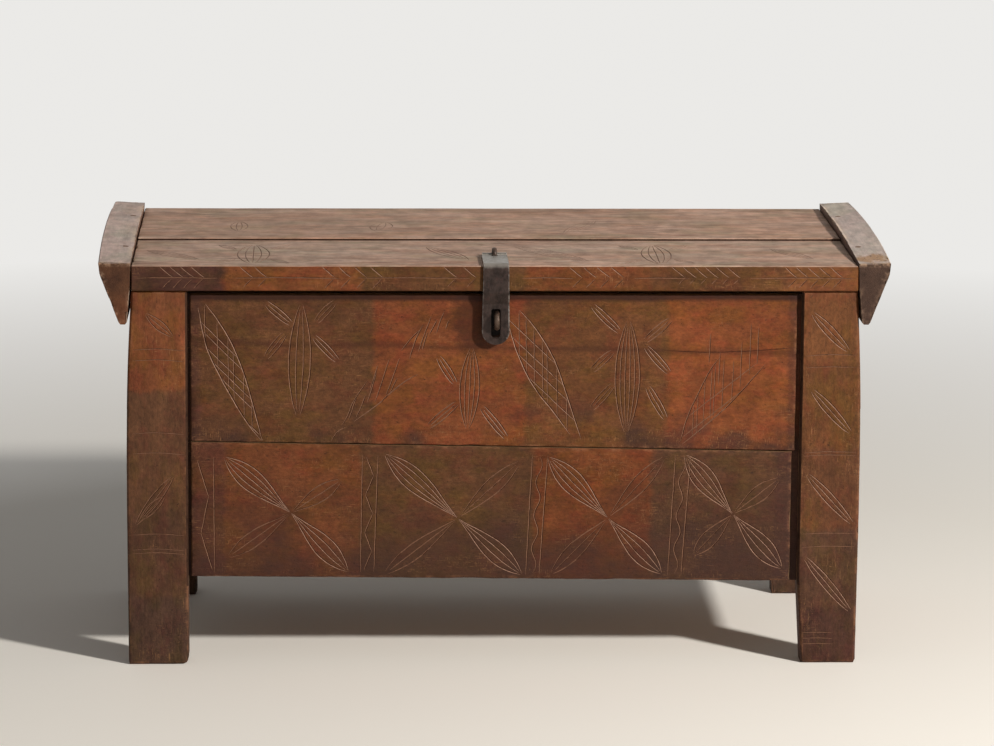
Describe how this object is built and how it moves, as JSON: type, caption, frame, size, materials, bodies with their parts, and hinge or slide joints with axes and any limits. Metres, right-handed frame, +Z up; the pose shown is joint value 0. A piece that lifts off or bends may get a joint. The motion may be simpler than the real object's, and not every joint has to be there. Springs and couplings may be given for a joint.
{
  "type": "coffer chest",
  "caption": "Post-and-plank wooden coffer chest on legs, its lid held by wedge cleats that turn on wooden pins, with an iron hasp over a lock staple and scored folk ornament on the front.",
  "frame": {"origin": "on the floor, under the middle of the whole chest's box", "axes": "+X to the right along the chest, +Y from the front to the rear, +Z up"},
  "size_m": [1.2338, 0.5982, 0.6511],
  "materials": {
    "stained_wood": "blocks of red-brown and olive-brown stain, worn at the edges, with pale scored lines",
    "weathered_wood": "grey-brown worn surface with open grain on the lid top and cleats",
    "bare_wood": "unstained aged wood inside and underneath, dry and matt",
    "forged_iron": "dark hand-forged iron, rubbed bright on edges and knuckle"
  },
  "bodies": {
    "carcase": {"post_front_left": "stained_wood", "post_front_right": "stained_wood", "post_rear_left": "stained_wood", "post_rear_right": "stained_wood", "front_plank_lower": "stained_wood", "front_plank_upper": "stained_wood", "back_plank_lower": "stained_wood", "back_plank_upper": "stained_wood", "side_plank_left_lower": "stained_wood", "side_plank_left_upper": "stained_wood", "side_plank_right_lower": "stained_wood", "side_plank_right_upper": "stained_wood", "floor_board_1": "bare_wood", "floor_board_2": "bare_wood", "floor_board_3": "bare_wood", "floor_board_4": "bare_wood", "floor_board_5": "bare_wood", "front_peg_left_lower": "bare_wood", "front_peg_left_upper": "bare_wood", "front_peg_right_lower": "bare_wood", "front_peg_right_upper": "bare_wood", "back_peg_left_lower": "bare_wood", "back_peg_left_upper": "bare_wood", "back_peg_right_lower": "bare_wood", "back_peg_right_upper": "bare_wood", "side_peg_left_front_lower": "bare_wood", "side_peg_left_front_upper": "bare_wood", "side_peg_left_rear_lower": "bare_wood", "side_peg_left_rear_upper": "bare_wood", "side_peg_right_front_lower": "bare_wood", "side_peg_right_front_upper": "bare_wood", "side_peg_right_rear_lower": "bare_wood", "side_peg_right_rear_upper": "bare_wood", "lock_staple": "forged_iron"},
    "lid": {"lid_board_front": "weathered_wood", "lid_board_rear": "weathered_wood", "lid_cleat_left": "weathered_wood", "lid_cleat_right": "weathered_wood", "hinge_pin_left": "bare_wood", "hinge_pin_right": "bare_wood", "lid_peg_left_front": "bare_wood", "lid_peg_left_rear": "bare_wood", "lid_peg_right_front": "bare_wood", "lid_peg_right_rear": "bare_wood", "lid_staple": "forged_iron"},
    "hasp": {"hasp": "forged_iron"}
  },
  "joints": [
    {"name": "lid_hinge", "type": "hinge", "parent": "carcase", "child": "lid", "pos_m": [0, 0.2231, 0.567], "axis": [-1, 0, 0], "range_deg": [0, 96]},
    {"name": "hasp_hinge", "type": "hinge", "parent": "lid", "child": "hasp", "pos_m": [0.0006, -0.1989, 0.6383], "axis": [-1, 0, 0], "range_deg": [0, 175]}
  ]
}
